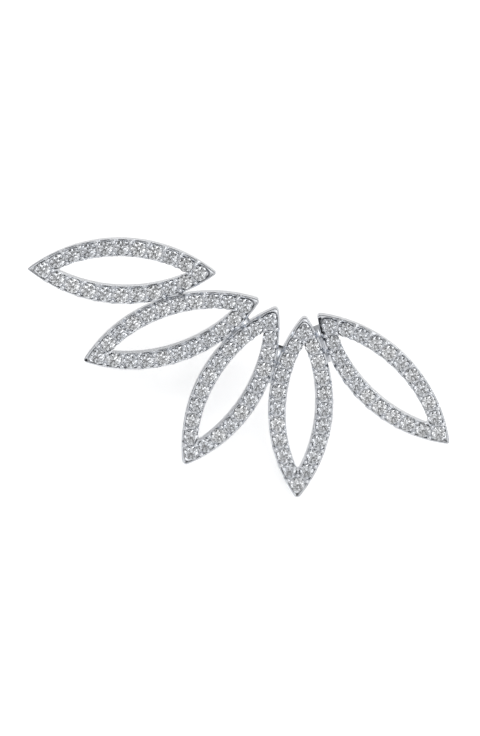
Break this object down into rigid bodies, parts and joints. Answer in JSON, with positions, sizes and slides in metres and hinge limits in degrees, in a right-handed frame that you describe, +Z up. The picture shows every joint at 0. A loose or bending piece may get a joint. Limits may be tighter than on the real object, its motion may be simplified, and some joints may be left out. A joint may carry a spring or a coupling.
{
  "type": "ear climber earring",
  "caption": "Ear climber of open marquise leaves in white metal, fanned side by side, each set with a row of small clear round stones, on one straight ear post.",
  "frame": {"origin": "middle of the bounding box on the surface that the climber lies on", "axes": "+Z up from that surface; the stone-set face leans towards -Y; +X runs across the fan from the first leaf to the fifth"},
  "size_m": [0.0308, 0.0136, 0.0094],
  "materials": {
    "white_metal": "bright polished white metal, rhodium-plated silver look",
    "clear_stone": "clear colourless faceted round stones in polished white metal grains"
  },
  "bodies": {
    "root": {"leaf_frame": "white_metal", "stone_row_1": "clear_stone", "stone_row_2": "clear_stone", "stone_row_3": "clear_stone", "stone_row_4": "clear_stone", "stone_row_5": "clear_stone"}
  },
  "joints": []
}
